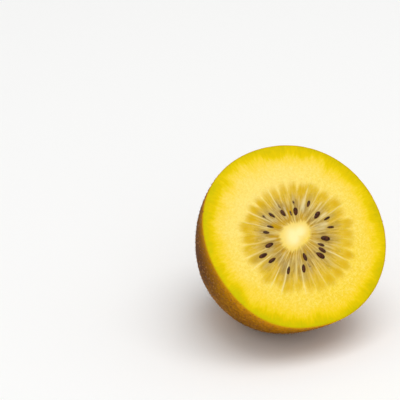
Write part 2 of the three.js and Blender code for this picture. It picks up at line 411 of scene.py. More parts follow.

# %% [markdown]
# ## The skin
#
# A golden kiwi has a thin, tough, bronze skin. It is more orange beside the cut, where light comes
# through the flesh. A browner belt behind that is painted shade, one darker side is painted shade
# too, and a lighter tan further off is painted sheen of the fuzz. It is dark round the stem. Colour
# patches come from wide noise, and small dark pores from a cell pattern. The shell is a closed
# wall of real thickness, so that the cut shows its edge.

# %% Skin finish
def make_skin_finish():
    material, tree, shader = new_material("bronze_skin", Specular_IOR_Level=0.01)
    place = node(tree, "ShaderNodeTexCoord").outputs["Object"]
    grained = grain(tree, place, 650.0, 2000.0, 0.4, 0.00015)
    patches = node(tree, "ShaderNodeTexNoise", {"Vector": place, "Scale": 75.0, "Detail": 4.0})
    base = ramp(tree, patches.outputs["Fac"], (
        (0.36, "9a6a00"), (0.48, "ae7000"), (0.56, "b87600"), (0.66, "ae6c18"),
    ))
    base = mix(tree, fit(tree, grained["Mask"], 0.49, 0.60, 0.0, 0.8), base, colour("dc9c14"))
    base = mix(tree, fit(tree, grained["Mask"], 0.38, 0.48, 0.7, 0.0), base, colour("663c00"))
    pores = node(tree, "ShaderNodeTexVoronoi", {"Vector": place, "Scale": 1100.0})
    pore = fit(tree, pores.outputs["Distance"], 0.15, 0.45, 0.7, 0.0)
    base = mix(tree, pore, base, colour("4a2804"))
    # Painted shade: a browner band some way behind the cut and a darker side. Painted sheen: the
    # lighter tan far from the cut, for the fuzz.
    base = lay_over(tree, base, (
        ("painted_shade_belt", 0.6, "442400"), ("far", 0.3, "cc9a5c"), ("painted_shade_side", 0.84, "481a00"),
        ("edge", 0.8, "dc9604"), ("lip", 0.6, "dcb81c"), ("stem", 0.6, "6b3f14"),
    ))
    satin = fit(tree, grained["Mask"], 0.3, 0.7, 0.42, 0.62)
    feed(tree, shader, Base_Color=base, Roughness=satin, Normal=grained["Normal"])
    return material


SKIN_FINISH = make_skin_finish()
print("finish:", SKIN_FINISH.name)

# %% Skin shell
SKIN_SIDES, SKIN_RINGS = 400, 120
INNER_SIDES, INNER_RINGS = 80, 24
EDGE_RAGGED = 0.07
END_ROOM = 1.8
CLEAR_OF_FLOOR, CLEAR_OF_CUT, CLEAR_OF_SCAR = 1.2, 0.6, 3.0  # where nothing grows on the skin
FAR_START, FAR_END = 11, 27  # depths behind the cut between which the skin turns a lighter tan, painted sheen of the fuzz
PAINTED_SHADE_SIDE = 156  # degrees round to the middle of the darker side, painted shade


def ring_shares(rings):
    """Shares of the outline from just past the tip to the cut, even along the skin."""
    return np.cos(np.linspace(math.pi / 2, 0, rings + 1)[1:]) ** (2 / ROUNDNESS)


def inner_inset(share):
    """How deep the skin's inside lies: thin at the cut and out of the way of the stem end's relief."""
    return SKIN_THICKNESS + END_ROOM * float(1 - smooth(np.array(share), 0.3, 0.55))


def skin_sides(share):
    """Fewer corners near the tip, so that faces stay even."""
    return SKIN_SIDES if share > 0.45 else SKIN_SIDES // 2 if share > 0.2 else SKIN_SIDES // 5


def build_skin():
    counts, fruit = [1], [outside_points(np.zeros(1), np.zeros(1))]
    for share in ring_shares(SKIN_RINGS):
        turn = turns_of(skin_sides(share))
        counts.append(len(turn))
        fruit.append(outside_points(turn, np.full(len(turn), share)))
    rim = turns_of(SKIN_SIDES)
    ragged = EDGE_RAGGED * (2 * flicker(rim * SKIN_SIDES / 4 / (2 * math.pi), SKIN_SIDES // 4, 7) - 1)
    fruit[-1][:, 2] += ragged
    outer_count = sum(counts)
    for share in ring_shares(INNER_RINGS)[::-1]:
        sides = SKIN_SIDES if share == 1 else INNER_SIDES
        turn = turns_of(sides)
        counts.append(sides)
        fruit.append(outside_points(turn, np.full(sides, share), inner_inset(share)))
    counts.append(1)
    fruit.append(outside_points(np.zeros(1), np.zeros(1), inner_inset(0)))
    points = np.vstack(fruit)
    room = to_room(points)
    room[outer_count:] = to_room(points[outer_count:], SKIN_THICKNESS)
    radius = np.hypot(points[:, 0], points[:, 1])
    outer = np.arange(len(points)) < outer_count
    depth = np.maximum(-points[:, 2], 0)
    far = smooth(depth, FAR_START, FAR_END)
    turn = np.arctan2(points[:, 1], points[:, 0])
    grows = outer & (depth > CLEAR_OF_CUT) & (radius > CLEAR_OF_SCAR)
    grows &= room[:, 2] > CLEAR_OF_FLOOR * MM
    masks = {
        "edge": np.exp(-depth / 3.5),
        "lip": np.exp(-depth / 0.25),
        # painted shade: a browner band some way behind the cut
        "painted_shade_belt": (1 - np.exp(-depth / 6)) * (1 - 0.6 * far),
        # far from the cut, where a lighter tan is painted sheen of the fuzz
        "far": far,
        # painted shade: one side of the skin darker
        "painted_shade_side": smooth(np.cos(turn - math.radians(PAINTED_SHADE_SIDE)), 0.6, 0.97) * (1 - 0.4 * far),
        "stem": np.where(points[:, 2] < -HALF_LENGTH / 2, 1 - smooth(radius, 3.0, 11.0), 0.0),
        "grows": grows.astype(float),
    }
    return new_piece("skin", room, ring_faces(counts), SKIN_FINISH, masks)


skin = build_skin()
report(skin)

# %% [markdown]
# ## The cut face
#
# From the middle outwards the cut shows a cream core with a feathered edge, then some thirty
# locules, the seed pockets, filled with khaki pulp and parted by thin pale walls, and then plain
# yellow flesh that deepens towards the skin. Each of these is worked out once as a mask between
# 0 and 1 on a fine ring mesh. The masks drive both the relief and the colours, so a wall that
# looks pale also stands up a little.

# %% Folds and pools, listed one by one
# Degrees round the face, distance out, length, width, strength
PALE_FOLDS = (
    (60, 9.6, 4.2, 0.45, 0.9), (57, 8.2, 2.4, 0.3, 0.7), (22, 10.6, 3.0, 0.3, 0.8),
    (9, 9.2, 2.6, 0.5, 0.7), (2, 8.0, 3.0, 0.4, 0.5), (36, 11.4, 3.4, 0.2, 0.6),
    (98, 7.0, 3.0, 0.2, 0.8), (104, 6.2, 2.2, 0.18, 0.6), (136, 9.0, 3.6, 0.3, 0.5),
    (176, 7.4, 2.6, 0.3, 0.5), (221, 8.0, 4.5, 0.2, 0.6), (252, 9.5, 4.0, 0.2, 0.5),
    (330, 6.6, 2.5, 0.3, 0.4),
)
AMBER_POOLS = (
    (85, 7.6, 3.0, 0.61, 0.8), (92, 6.6, 3.4, 0.47, 1.0), (97, 5.8, 2.0, 0.61, 0.8),
    (62, 10.6, 3.0, 0.61, 0.6), (107, 4.9, 1.2, 1.89, 0.7), (56, 5.4, 1.6, 0.81, 0.6),
    (146, 6.4, 3.0, 0.81, 1.0), (134, 5.8, 1.6, 0.68, 0.7), (157, 7.6, 2.4, 0.34, 0.6),
    (172, 6.8, 3.2, 0.54, 0.9), (180, 5.9, 1.6, 0.54, 0.8), (194, 6.6, 2.4, 0.47, 0.6),
    (202, 7.8, 2.4, 0.41, 0.5), (268, 6.4, 2.4, 0.61, 0.5), (286, 5.2, 1.8, 0.94, 0.5),
    (319, 5.4, 2.0, 0.54, 0.4), (120, 5.0, 1.2, 1.22, 0.5),
)


def spots_mask(x, y, spots):
    """1 in the middle of each listed spot, which is longer along its ray than across."""
    mask = np.zeros_like(x)
    for degrees, out, length, width, strength in spots:
        turn = math.radians(degrees)
        along = x * math.cos(turn) + y * math.sin(turn) - out
        across = -x * math.sin(turn) + y * math.cos(turn)
        shape = np.exp(-((2 * along / length) ** 4) - (across / width) ** 2)
        mask = np.maximum(mask, strength * shape)
    return mask


print(len(PALE_FOLDS), "pale folds and", len(AMBER_POOLS), "pools of juice placed by hand")

# %% Walls and fibres
WALL_WIDTH = 0.12
FIBRE_COUNT = 120


def wall_mask(turn, radius):
    """Thin pale walls between the locules, some bold and some faint."""
    number = locule_number(turn) + 0.5
    near = np.round(number) % LOCULE_COUNT
    lean = 0.16 * (draw(near, 3) - 0.5) * smooth(radius, 16, 8)
    number = number + lean + 0.02 * np.sin(radius + 7 * draw(near, 4))
    nearest = np.round(number)
    wall = nearest % LOCULE_COUNT
    away = (number - nearest) / LOCULE_COUNT * 2 * math.pi * radius
    width = WALL_WIDTH * (0.8 + 0.9 * draw(wall, 11))
    bold = 0.12 + 0.88 * smooth(draw(wall, 12), 0.3, 1.0)
    start = 7.5 + 4.0 * draw(wall, 13)
    end = locule_reach(turn) - 0.4 + 2.2 * draw(wall, 14)
    along = smooth(radius, start - 1.5, start + 1.0) * (1 - smooth(radius, end - 2.4, end + 0.4))
    return bold * along * np.exp(-((away / width) ** 2))


def fibre_mask(turn, radius):
    """Fine pale fibres that run out from the core between the seeds."""
    steps = turn / (2 * math.pi) * FIBRE_COUNT
    strands = smooth(flicker(steps, FIBRE_COUNT, 21), 0.5, 0.95)
    length = 8.0 + 7.0 * flicker(steps / 2, FIBRE_COUNT // 2, 22)
    core = core_radius(turn)
    return strands * smooth(radius, core - 1.0, core) * (1 - smooth(radius, length - 4, length))


print(LOCULE_COUNT, "walls and room for", FIBRE_COUNT, "fibres")

# %% Core
RAY_COUNT = 100
CREAM_RADIUS = 4.15
CREAM_WAVES = ((0.6, 1, 153), (0.77, 2, 27), (0.25, 3, 19), (0.13, 4, 36))


def core_edge(turn):
    """Where the cream of the core ends, in lobes and fine rays."""
    rays = flicker(turn / (2 * math.pi) * RAY_COUNT, RAY_COUNT, 31) ** 1.5 - 0.4
    return CREAM_RADIUS + waves(turn, CREAM_WAVES) + 1.5 * rays


def core_mask(turn, radius):
    edge = core_edge(turn)
    return 1 - smooth(radius, edge - 0.55, edge + 0.25)


def heart_mask(turn, radius):
    """The brightest, almost white part of the core."""
    edge = CREAM_RADIUS + waves(turn, CREAM_WAVES)
    return 1 - smooth(radius, edge - 3.4, edge + 0.1)


cream = core_edge(turns_of(360))
print("the cream reaches out between", cream.min().round(1), "and", cream.max().round(1), "mm")


# %% Pulp and juice
PULP_PAST, PULP_DRIFT, PULP_SIDE = 0.2, 1.0, 340
FINE_STEPS, BROAD_STEPS, AMBER_STEPS = 300, 50, 60


def pulp_reach(turn):
    """Where the pulp's colour ends, a little further out on the right of the cut than on the left."""
    return locule_reach(turn) + PULP_PAST + PULP_DRIFT * np.cos(turn - math.radians(PULP_SIDE))


def pulp_mask(turn, radius):
    """The locules' pulp, a ring whose outer edge is split into uneven pointed fingers."""
    fine = 1.2 * (flicker(turn / (2 * math.pi) * FINE_STEPS, FINE_STEPS, 41) - 0.5)
    broad = 2.4 * (flicker(turn / (2 * math.pi) * BROAD_STEPS, BROAD_STEPS, 42) - 0.5)
    wall = np.round(locule_number(turn) + 0.5) % LOCULE_COUNT
    valley = 2.6 * draw(wall, 16) ** 2.4 * (1 - across_locule(turn)) ** 1.6
    end = pulp_reach(turn) - valley + fine + broad
    core = core_radius(turn)
    faint = smooth(np.cos(turn - math.radians(97)), 0.9, 1.0)
    faded = 1 - 0.55 * faint * smooth(radius, 11, 15)
    outer = 1 - smooth(radius, end - 1.7 - faint, end + 0.6)
    return smooth(radius, core - 1.2, core + 0.4) * outer * faded


def tip_mask(turn, radius):
    """The clear golden juice towards the outer end of each locule, in some more than in others."""
    number = np.round(locule_number(turn)) % LOCULE_COUNT
    rich = 0.3 + 0.7 * draw(number, 15)
    end = pulp_reach(turn)
    return rich * np.exp(-(((radius - end + 1.7) / 1.6) ** 2)) * across_locule(turn) ** 0.5


def amber_mask(turn, radius):
    """A thin broken line of clear juice that hugs the core."""
    streaks = smooth(flicker(turn / (2 * math.pi) * AMBER_STEPS, AMBER_STEPS, 51), 0.3, 0.9)
    side = 0.3 + 0.7 * smooth(np.cos(turn - math.radians(130)), 0.0, 0.8)
    return 0.8 * streaks * side * np.exp(-(((radius - core_radius(turn) - 0.5) / 0.7) ** 2))


middle_of_pulp = pulp_mask(np.zeros(1), np.array([10.0]))
print("share of pulp 10 mm out:", middle_of_pulp.round(2))

# %% [markdown]
# ## Seeds and what they do to the pulp round them
#
# The seeds lie in a ring, each with its pointed end to the core. Their places are listed as on a
# real cut, and the list serves twice: the pulp is greyer round a seed, and further below the
# seeds themselves are placed from it. The last number says how far a veil of pulp hides one.

# %% Seed places
# Degrees round the face, distance out, length, width, veil
SEEDS = (
    (1, 11.0, 2.2, 0.8, 0.15), (15, 11.0, 2.2, 0.8, 0.1), (29, 9.1, 2.6, 1.5, 0.0),
    (51, 10.3, 2.2, 1.1, 0.2), (74, 6.9, 2.3, 1.5, 0.0), (77, 9.4, 1.7, 0.8, 0.5),
    (87, 6.4, 1.9, 0.7, 0.5), (106, 7.2, 2.3, 1.3, 0.2), (106, 9.4, 1.7, 0.9, 0.6),
    (128, 8.9, 2.3, 1.1, 0.2), (138, 10.5, 1.7, 0.8, 0.55), (150, 7.9, 2.2, 0.8, 0.2),
    (163, 8.9, 2.1, 1.1, 0.3), (187, 8.8, 2.7, 1.4, 0.05), (197, 11.9, 2.7, 1.4, 0.0),
    (210, 10.6, 2.6, 1.2, 0.05), (239, 10.5, 2.4, 1.1, 0.15), (265, 9.5, 2.4, 1.4, 0.0),
    (275, 6.4, 2.4, 1.2, 0.1), (277, 8.9, 1.8, 0.7, 0.6), (289, 5.4, 1.5, 0.7, 0.8),
    (308, 8.8, 2.7, 1.6, 0.0), (319, 8.4, 2.5, 1.3, 0.1), (328, 7.6, 2.3, 1.1, 0.2),
    (343, 8.7, 2.8, 1.5, 0.0),
)
SEED_THICKNESS, SEED_PROUD, SEED_YAW = 1.3, 0.4, 12.0
SEED_SWELL = (0.98, 1.12)  # width and length against the listed sizes
# Seeds that lie under the cut show only as a grey shade: degrees, distance, length, width, strength
SHADES = (
    (232, 10.4, 4.4, 1.3, 0.8), (226, 9.6, 3.2, 0.9, 0.6), (139, 10.4, 3.0, 0.9, 0.7),
    (8, 7.8, 4.0, 1.1, 0.6), (98, 8.6, 3.4, 0.8, 0.5), (62, 8.2, 2.4, 0.7, 0.6),
    (172, 10.6, 3.4, 0.9, 0.4), (248, 9.4, 3.6, 0.9, 0.5), (257, 10.2, 3.0, 0.8, 0.4),
    (352, 8.2, 3.6, 1.0, 0.4), (118, 8.4, 4.0, 0.9, 0.4), (219, 9.0, 3.2, 0.9, 0.4),
)


def halo_mask(x, y):
    """Grey shade round each seed and over the hidden ones."""
    halos = [(degrees, out, 3.0 * length, width, 0.55) for degrees, out, length, width, _ in SEEDS]
    return np.maximum(spots_mask(x, y, halos), spots_mask(x, y, SHADES))


print(len(SEEDS), "seeds show at the cut,", len(SHADES), "more as shades")

# %% [markdown]
# ## Flesh finish
#
# One ramp gives the colour of plain flesh by how far out it lies, another the colour of pulp.
# The masks then mix pulp, amber, halo, walls, fibres and core over it. The place along the ramp
# is shaken by radial noise, so the deep yellow rim fades inwards in soft streaks. A little light
# travels inside the flesh, which is what subsurface scattering is for.

# %% Flesh colours
def make_flesh_finish():
    material, tree, shader = new_material(
        "moist_flesh", Subsurface_Weight=0.12, Subsurface_Scale=0.0008, Specular_IOR_Level=0.04,
    )
    shader.inputs["Subsurface Radius"].default_value = (1.0, 0.7, 0.2)
    place = node(tree, "ShaderNodeTexCoord").outputs["Object"]
    polar = node(tree, "ShaderNodeAttribute", attribute_name="polar").outputs["Vector"]
    grained = grain(tree, place, 1500.0, 3600.0, 0.45, 0.00008)
    streaks = node(tree, "ShaderNodeTexNoise", {"Vector": polar, "Scale": 1.0, "Detail": 4.0})
    strands = node(tree, "ShaderNodeTexNoise", {"Vector": polar, "Scale": 0.5, "Detail": 3.0})
    cloud = node(tree, "ShaderNodeTexNoise", {"Vector": place, "Scale": 160.0, "Detail": 2.0})
    shake = fit(tree, streaks.outputs["Fac"], 0.3, 0.7, -0.03, 0.03)
    drift = fit(tree, cloud.outputs["Fac"], 0.3, 0.7, -0.045, 0.045)
    share = maths(tree, "ADD", maths(tree, "ADD", mask_of(tree, "share"), shake), drift)
    flesh = ramp(tree, share, (
        (0.56, "f6d75a"), (0.68, "f5d546"), (0.78, "f5d338"), (0.84, "f4d020"),
        (0.885, "eccd0c"), (0.92, "e4c500"), (0.96, "dcc000"), (1.0, "d0b900"),
    ))
    pulp = ramp(tree, share, (
        (0.18, "d2a628"), (0.23, "cba028"), (0.30, "b79336"), (0.36, "c8a33a"), (0.42, "d8b132"),
        (0.50, "dcb72c"), (0.60, "e6c434"),
    ))
    green = maths(tree, "MULTIPLY", mask_of(tree, "green"), fit(tree, share, 0.90, 0.985))
    flesh = mix(tree, maths(tree, "MULTIPLY", green, 0.4), flesh, colour("c6c400"))
    speckle = fit(tree, grained["Mask"], 0.48, 0.62, 0.0, 0.55)
    inside = fit(tree, share, 0.72, 0.90, 1.0, 0.0)
    flesh = mix(tree, maths(tree, "MULTIPLY", speckle, inside), flesh, colour("fce884"))
    dimple = fit(tree, grained["Mask"], 0.38, 0.50, 0.6, 0.0)
    flesh = mix(tree, maths(tree, "MULTIPLY", dimple, inside), flesh, colour("ecc424"))
    pale = maths(tree, "MULTIPLY", mask_of(tree, "pale"), maths(tree, "MULTIPLY", inside, 0.3))
    flesh = mix(tree, pale, flesh, colour("fdeca4"))
    close_in = fit(tree, share, 0.32, 0.56, 1.0, 0.25)
    bright = fit(tree, strands.outputs["Fac"], 0.5, 0.66, 0.0, 0.6)
    dark = fit(tree, strands.outputs["Fac"], 0.36, 0.48, 0.5, 0.0)
    pulp = mix(tree, maths(tree, "MULTIPLY", bright, close_in), pulp, colour("e8d290"))
    pulp = mix(tree, maths(tree, "MULTIPLY", dark, close_in), pulp, colour("8f6c26"))
    pulp = mix(tree, fit(tree, grained["Mask"], 0.5, 0.68, 0.0, 0.35), pulp, colour("efd98a"))
    shade = lay_over(tree, mix(tree, mask_of(tree, "pulp"), flesh, pulp), (
        ("tip", 0.9, "d8ac08"), ("halo", 0.7, "8a7556"), ("fibre", 0.6, "ead27a"),
        ("amber", 1.0, "c09400"), ("wall", 0.85, "f5e6a4"), ("fold", 0.9, "eadba2"),
        ("core", 0.85, "f2d46c"), ("heart", 1.0, "fdeea8"),
    ))
    wet = fit(tree, mask_of(tree, "pulp"), 0.0, 1.0, 0.5, 0.34)
    feed(tree, shader, Base_Color=shade, Roughness=wet, Normal=grained["Normal"])
    return material


FLESH_FINISH = make_flesh_finish()
print("finish:", FLESH_FINISH.name)

# %% Flesh body
FINE_STEP, PLAIN_STEP = 0.2, 0.28
FINE_RADIUS = 19.0
WALL_LIFT, FIBRE_LIFT = 0.06, 0.03
TUCK = 0.9  # the flesh reaches into the skin's thickness by a tenth, so that no gap can show
GREEN_SIDE, PALE_SIDE = 215, 115  # degrees round to where the flesh is greenest and palest
RING_SIDES = (12, 30, 60, 360, 480, 600)


def face_rings():
    """Radii of the cut face's rings, from the skin inwards, closer together over the locules."""
    plain = np.arange(FACE_RADIUS - SKIN_THICKNESS, FINE_RADIUS, -PLAIN_STEP)
    return np.concatenate([plain, np.arange(FINE_RADIUS, FINE_STEP, -FINE_STEP)])


def build_flesh():
    counts, fruit = [1], [outside_points(np.zeros(1), np.zeros(1), TUCK * inner_inset(0))]
    for share in ring_shares(INNER_RINGS):
        sides = RING_SIDES[-1] if share == 1 else INNER_SIDES
        counts.append(sides)
        fruit.append(outside_points(turns_of(sides), np.full(sides, share), TUCK * inner_inset(share)))
    for ring_radius in face_rings()[1:]:
        step = FINE_STEP if ring_radius < FINE_RADIUS else PLAIN_STEP
        wanted = 2 * math.pi * ring_radius / step
        sides = next((s for s in RING_SIDES if s >= wanted), RING_SIDES[-1])
        turn = turns_of(sides)
        radius = ring_radius * face_radius(turn) / FACE_RADIUS
        lift = WALL_LIFT * wall_mask(turn, radius) + FIBRE_LIFT * fibre_mask(turn, radius)
        lift += face_height(turn, radius)
        counts.append(sides)
        fruit.append(np.stack([radius * np.cos(turn), radius * np.sin(turn), lift], axis=-1))
    counts.append(1)
    fruit.append(np.array([[0, 0, FLESH_CROWN + CORE_PROUD]]))
    points = np.vstack(fruit)
    x, y = points[:, 0], points[:, 1]
    turn, radius = np.arctan2(y, x), np.hypot(x, y)
    masks = {
        "share": radius / face_radius(turn),
        "green": 0.5 + 0.5 * np.cos(turn - math.radians(GREEN_SIDE)),
        "pale": 0.5 + 0.5 * np.cos(turn - math.radians(PALE_SIDE)),
        "core": core_mask(turn, radius),
        "heart": heart_mask(turn, radius),
        "pulp": pulp_mask(turn, radius),
        "tip": tip_mask(turn, radius),
        "amber": np.maximum(amber_mask(turn, radius), spots_mask(x, y, AMBER_POOLS)),
        "wall": wall_mask(turn, radius),
        "fold": spots_mask(x, y, PALE_FOLDS),
        "fibre": fibre_mask(turn, radius),
        "halo": halo_mask(x, y),
    }
    room = to_room(points, SKIN_THICKNESS / 2)
    body = new_piece("flesh", room, ring_faces(counts), FLESH_FINISH, masks)
    # Noise laid out on this is drawn out along the rays, so that it looks like strands
    polar = np.stack([40 * np.cos(turn), 40 * np.sin(turn), 0.55 * radius], axis=-1)
    body.data.attributes.new("polar", "FLOAT_VECTOR", "POINT").data.foreach_set("vector", polar.ravel())
    return body


flesh = build_flesh()
report(flesh)

# %% [markdown]
# ## Growing small things with Geometry Nodes
#
# Seeds, raised specks and hairs all repeat, so Geometry Nodes place them. Each tree is built here
# with named inputs. The helper hangs a tree on a copy of a carrier mesh, evaluates it, keeps the
# result as a plain mesh and drops the modifier, because instances don't survive an export.

# %% Helper to run a tree
def new_tree(name, sockets):
    """A geometry tree with these named inputs, and the outputs of its input node."""
    tree = bpy.data.node_groups.new(name, "GeometryNodeTree")
    tree.interface.new_socket("Geometry", in_out="INPUT", socket_type="NodeSocketGeometry")
    for label, kind, value in sockets:
        socket = tree.interface.new_socket(label, in_out="INPUT", socket_type=f"NodeSocket{kind}")
        if value is not None:
            socket.default_value = value
    tree.interface.new_socket("Geometry", in_out="OUTPUT", socket_type="NodeSocketGeometry")
    return tree, node(tree, "NodeGroupInput").outputs


def close_tree(tree, instances, material):
    """End a tree in Realize Instances, smooth shading and Set Material."""
    real = node(tree, "GeometryNodeRealizeInstances", {"Geometry": instances}).outputs[0]
    shaded = node(tree, "GeometryNodeSetShadeSmooth", {"Geometry": real}).outputs[0]
    finished = node(tree, "GeometryNodeSetMaterial", {"Geometry": shaded, "Material": material})
    node(tree, "NodeGroupOutput", {"Geometry": finished.outputs[0]})


def grow(name, carrier_mesh, tree, values):
    """Run a tree on a copy of a mesh and keep the result as a plain mesh object."""
    holder = bpy.data.objects.new(name + "_holder", carrier_mesh.copy())
    bpy.context.scene.collection.objects.link(holder)
    modifier = holder.modifiers.new("grow", "NODES")
    modifier.node_group = tree
    for item in tree.interface.items_tree:
        if item.in_out == "INPUT" and item.name in values:
            modifier[item.identifier] = values[item.name]
    evaluated = holder.evaluated_get(bpy.context.evaluated_depsgraph_get())
    mesh = bpy.data.meshes.new_from_object(evaluated)
    bpy.data.objects.remove(holder)
    mesh.name = name
    piece = bpy.data.objects.new(name, mesh)
    bpy.context.scene.collection.objects.link(piece)
    return piece


print("ready to grow seeds, specks and hairs")

# %% [markdown]
# ## Seeds
#
# A kiwi seed is a small flattened drop, dark reddish brown and glossy when wet. One sphere is pulled
# into that drop inside the tree and then set on a point for each seed. The points carry the
# seed's size, turn and veil as attributes, so the tree itself has no list in it.

# %% Seed finish
def make_seed_finish():
    material, tree, shader = new_material(
        "dark_brown_seed", Coat_Weight=0.06, Coat_Roughness=0.15, Specular_IOR_Level=0.12,
    )
    place = node(tree, "ShaderNodeTexCoord").outputs["Object"]
    grained = grain(tree, place, 1500.0, 5000.0, 0.4, 0.00005)
    base = mix(tree, fit(tree, grained["Mask"], 0.4, 0.62), colour("180400"), colour("623212"))
    veiled = maths(tree, "MULTIPLY", mask_of(tree, "veil"), 0.5)
    cover = fit(tree, maths(tree, "ADD", veiled, grained["Mask"]), 0.74, 0.86, 0.0, 0.85)
    base = mix(tree, veiled, base, colour("8a6e50"))
    base = mix(tree, cover, base, colour("c2a45a"))
    glossy = fit(tree, grained["Mask"], 0.3, 0.7, 0.3, 0.45)
    feed(tree, shader, Base_Color=base, Roughness=glossy, Normal=grained["Normal"])
    return material


SEED_FINISH = make_seed_finish()
print("finish:", SEED_FINISH.name)


# %% Seed tree
def named(tree, name, kind):
    """An attribute that the carrier mesh brings along."""
    return node(tree, "GeometryNodeInputNamedAttribute", {"Name": name}, data_type=kind).outputs[0]


def build_seed_tree():
    sockets = (("Segments", "Int", 20), ("Point", "Float", 0.28), ("Finish", "Material", None))
    tree, start = new_tree("seeds_on_rays", sockets)
    sphere = node(tree, "GeometryNodeMeshUVSphere", {
        "Segments": start["Segments"], "Rings": 12, "Radius": 0.5,
    }).outputs["Mesh"]
    where = node(tree, "GeometryNodeInputPosition").outputs[0]
    parts = node(tree, "ShaderNodeSeparateXYZ", {0: where}).outputs
    slim = maths(tree, "ADD", maths(tree, "MULTIPLY", parts["Z"], start["Point"]), 1.0)
    narrow = maths(tree, "MULTIPLY", slim, parts["X"])
    thin = maths(tree, "MULTIPLY", slim, parts["Y"])
    drop = node(tree, "ShaderNodeCombineXYZ", {0: narrow, 1: thin, 2: parts["Z"]}).outputs[0]
    seed = node(tree, "GeometryNodeSetPosition", {"Geometry": sphere, "Position": drop}).outputs[0]
    placed = node(tree, "GeometryNodeInstanceOnPoints", {
        "Points": start["Geometry"], "Instance": seed,
        "Rotation": named(tree, "aim", "FLOAT_VECTOR"), "Scale": named(tree, "size", "FLOAT_VECTOR"),
    }).outputs[0]
    close_tree(tree, placed, start["Finish"])
    return tree


def seed_carrier():
    """One loose point for each seed, with its size, its aim and its veil."""
    points, sizes, aims, veils = [], [], [], []
    lie = Matrix(LIE.tolist())
    for index, (degrees, out, length, width, veil) in enumerate(SEEDS):
        turn = math.radians(degrees)
        proud = SEED_PROUD * (1 - 0.75 * veil)
        height = float(face_height(np.array(turn), np.array(out))) + proud - SEED_THICKNESS / 2
        points.append([out * math.cos(turn), out * math.sin(turn), height])
        yaw = math.radians((2 * float(draw(index, 2)) - 1) * SEED_YAW)
        # The sphere's Z becomes the ray outwards and its Y the way out of the face
        ray = Vector((math.cos(turn + yaw), math.sin(turn + yaw), 0))
        up = Vector((0, 0, 1))
        turned = Matrix((up.cross(ray), up, ray)).transposed()
        sizes.append([SEED_SWELL[0] * width * MM, SEED_THICKNESS * MM, SEED_SWELL[1] * length * MM])
        aims.append(list((lie @ turned).to_euler()))
        veils.append(veil)
    mesh = bpy.data.meshes.new("seed_points")
    mesh.from_pydata(to_room(np.array(points)).tolist(), [], [])
    for name, values in (("size", sizes), ("aim", aims)):
        attribute = mesh.attributes.new(name, "FLOAT_VECTOR", "POINT")
        attribute.data.foreach_set("vector", np.array(values).ravel())
    mesh.attributes.new("veil", "FLOAT", "POINT").data.foreach_set("value", veils)
    return mesh


seeds = grow("seeds", seed_carrier(), build_seed_tree(), {"Finish": SEED_FINISH})
report(seeds)

# %% [markdown]
# ## Specks and fuzz on the skin
#
# The skin carries thousands of small raised specks, reddish beside the cut and paler further off,
# and a sparse short fuzz. Both are scattered on the shell where its "grows" mask allows, which
# keeps them off the cut, the scar and the spot that the fruit rests on. The specks keep a least
# distance from each other, as pores do, and sit with their roots under the skin.

# %% Scatter tree
def random_value(tree, low, high, seed):
    made = node(tree, "FunctionNodeRandomValue", {2: low, 3: high, "Seed": seed}, data_type="FLOAT")
    return made.outputs[1]


def build_scatter_tree():
    """Scatter a small part over a skin. Width, length and lean are driving inputs."""
    tree, start = new_tree("scattered_on_skin", (
        ("Spacing", "Float", 1.3 * MM), ("Width", "Float", 0.4 * MM), ("Length", "Float", 0.3 * MM),
        ("Lean", "Float", 0.2), ("Seed", "Int", 1), ("Hair", "Bool", False),
        ("Finish", "Material", None),
    ))
    grows = named(tree, "grows", "FLOAT")
    scatter = node(tree, "GeometryNodeDistributePointsOnFaces", {
        "Mesh": start["Geometry"], "Distance Min": start["Spacing"], "Density Max": 1.2e6,
        "Density Factor": grows, "Seed": start["Seed"],
    }, distribute_method="POISSON").outputs
    bead = node(tree, "GeometryNodeMeshIcoSphere", {"Radius": 0.5, "Subdivisions": 1}).outputs[0]
    cone = node(tree, "GeometryNodeMeshCone", {"Vertices": 3, "Radius Bottom": 0.5, "Depth": 1.0})
    part = node(tree, "GeometryNodeSwitch", {0: start["Hair"], 1: bead, 2: cone.outputs[0]}).outputs[0]
    jitter = node(tree, "FunctionNodeRandomValue", {
        "Min": (-1, -1, -1), "Max": (1, 1, 1), "Seed": 4,
    }, data_type="FLOAT_VECTOR").outputs[0]
    lean = node(tree, "ShaderNodeVectorMath", {0: jitter, 3: start["Lean"]}, operation="SCALE")
    away = node(tree, "ShaderNodeVectorMath", {0: scatter["Normal"], 1: lean.outputs[0]}).outputs[0]
    turned = node(tree, "FunctionNodeAlignRotationToVector", {"Vector": away}, axis="Z").outputs[0]
    wide = maths(tree, "MULTIPLY", start["Width"], random_value(tree, 0.3, 1.4, 5))
    broad = maths(tree, "MULTIPLY", wide, random_value(tree, 0.7, 1.1, 6))
    tall = maths(tree, "MULTIPLY", start["Length"], random_value(tree, 0.5, 1.3, 7))
    size = node(tree, "ShaderNodeCombineXYZ", {0: wide, 1: broad, 2: tall}).outputs[0]
    placed = node(tree, "GeometryNodeInstanceOnPoints", {
        "Points": scatter["Points"], "Instance": part, "Rotation": turned, "Scale": size,
    }).outputs[0]
    toned = node(tree, "GeometryNodeStoreNamedAttribute", {
        "Geometry": placed, "Name": "tone", "Value": random_value(tree, 0.0, 1.0, 8),
    }, data_type="FLOAT", domain="INSTANCE").outputs[0]
    close_tree(tree, toned, start["Finish"])
    return tree


def make_speck_finish():
    material, tree, shader = new_material("skin_specks", Specular_IOR_Level=0.25, Roughness=0.4)
    tone = mask_of(tree, "tone")
    far = mix(tree, tone, colour("5e3408"), colour("d0923c"))
    near = mix(tree, tone, colour("8a4408"), colour("c4741c"))
    close_to_cut = fit(tree, mask_of(tree, "edge"), 0.02, 0.4)
    feed(tree, shader, Base_Color=mix(tree, close_to_cut, far, near))
    return material


